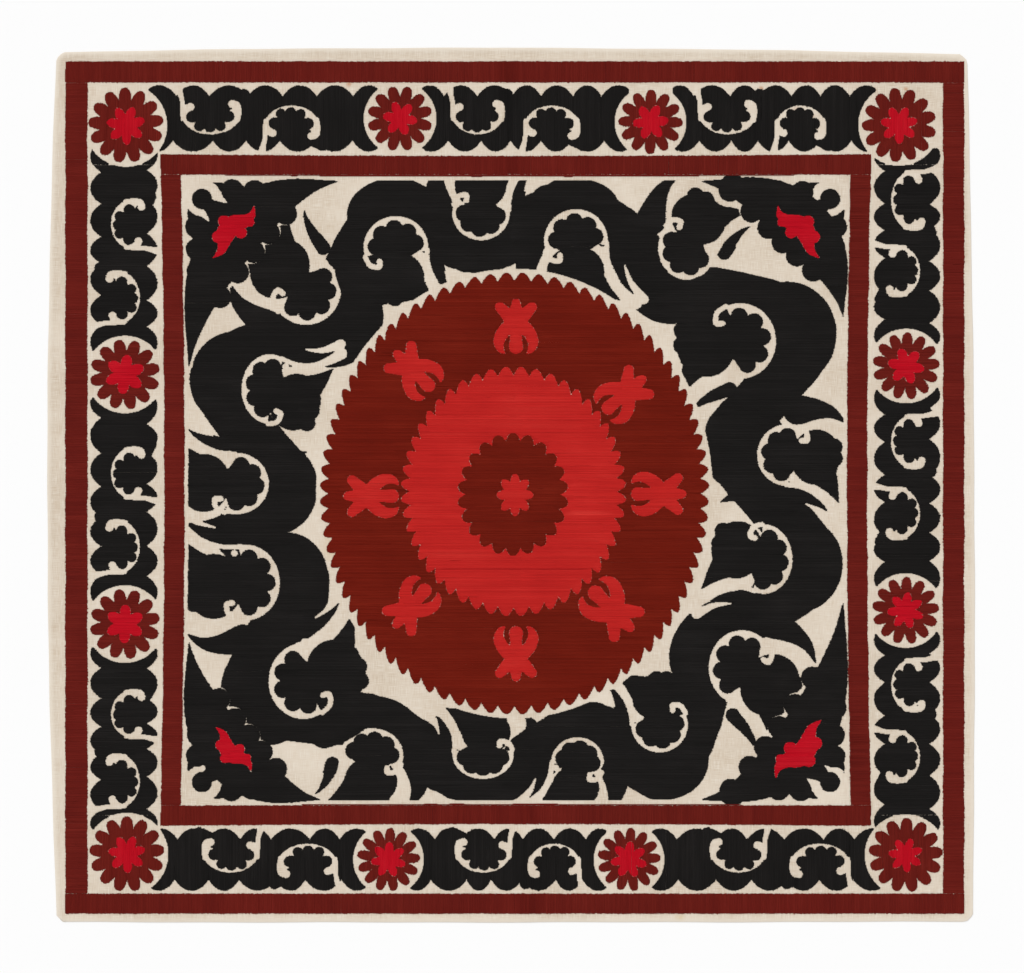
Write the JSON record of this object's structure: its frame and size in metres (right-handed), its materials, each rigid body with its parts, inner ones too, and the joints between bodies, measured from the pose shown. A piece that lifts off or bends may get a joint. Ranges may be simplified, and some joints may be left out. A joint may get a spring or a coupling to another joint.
{
  "type": "suzani embroidered textile",
  "caption": "A hand-embroidered cotton wall hanging laid flat, with a toothed red medallion, a dark leafy scroll and a rosette border",
  "frame": {"origin": "middle of the cloth's bounding box, on its underside", "axes": "+X towards the right edge of the cloth as the picture shows it, +Y towards its top edge, +Z out of the embroidered face"},
  "size_m": [1.856, 1.75, 0.0026],
  "materials": {
    "cotton": "unbleached cream cotton, plain weave, matt",
    "border_silk": "dark red laid silk thread, soft sheen along the stitches",
    "medallion_silk": "brick red laid silk thread with brighter red figures, soft sheen",
    "rosette_silk": "dark red laid silk thread with crimson stars, soft sheen",
    "dark_silk": "near-black laid silk thread, soft sheen; the corner sprays hold a crimson flame"
  },
  "bodies": {
    "root": {"border_scroll_01": "dark_silk", "border_scroll_02": "dark_silk", "border_scroll_03": "dark_silk", "border_scroll_04": "dark_silk", "border_scroll_05": "dark_silk", "border_scroll_06": "dark_silk", "border_scroll_07": "dark_silk", "border_scroll_08": "dark_silk", "border_scroll_09": "dark_silk", "border_scroll_10": "dark_silk", "border_scroll_11": "dark_silk", "border_scroll_12": "dark_silk", "corner_spray_bottom_left": "dark_silk", "corner_spray_bottom_right": "dark_silk", "corner_spray_top_left": "dark_silk", "corner_spray_top_right": "dark_silk", "ground_cloth": "cotton", "inner_bar": "border_silk", "main_scroll": "dark_silk", "main_scroll_leaf_1": "dark_silk", "main_scroll_leaf_10": "dark_silk", "main_scroll_leaf_11": "dark_silk", "main_scroll_leaf_12": "dark_silk", "main_scroll_leaf_13": "dark_silk", "main_scroll_leaf_2": "dark_silk", "main_scroll_leaf_3": "dark_silk", "main_scroll_leaf_4": "dark_silk", "main_scroll_leaf_5": "dark_silk", "main_scroll_leaf_6": "dark_silk", "main_scroll_leaf_7": "dark_silk", "main_scroll_leaf_8": "dark_silk", "main_scroll_leaf_9": "dark_silk", "medallion": "medallion_silk", "outer_bar": "border_silk", "rosette_01": "rosette_silk", "rosette_02": "rosette_silk", "rosette_03": "rosette_silk", "rosette_04": "rosette_silk", "rosette_05": "rosette_silk", "rosette_06": "rosette_silk", "rosette_07": "rosette_silk", "rosette_08": "rosette_silk", "rosette_09": "rosette_silk", "rosette_10": "rosette_silk", "rosette_11": "rosette_silk", "rosette_12": "rosette_silk"}
  },
  "joints": []
}
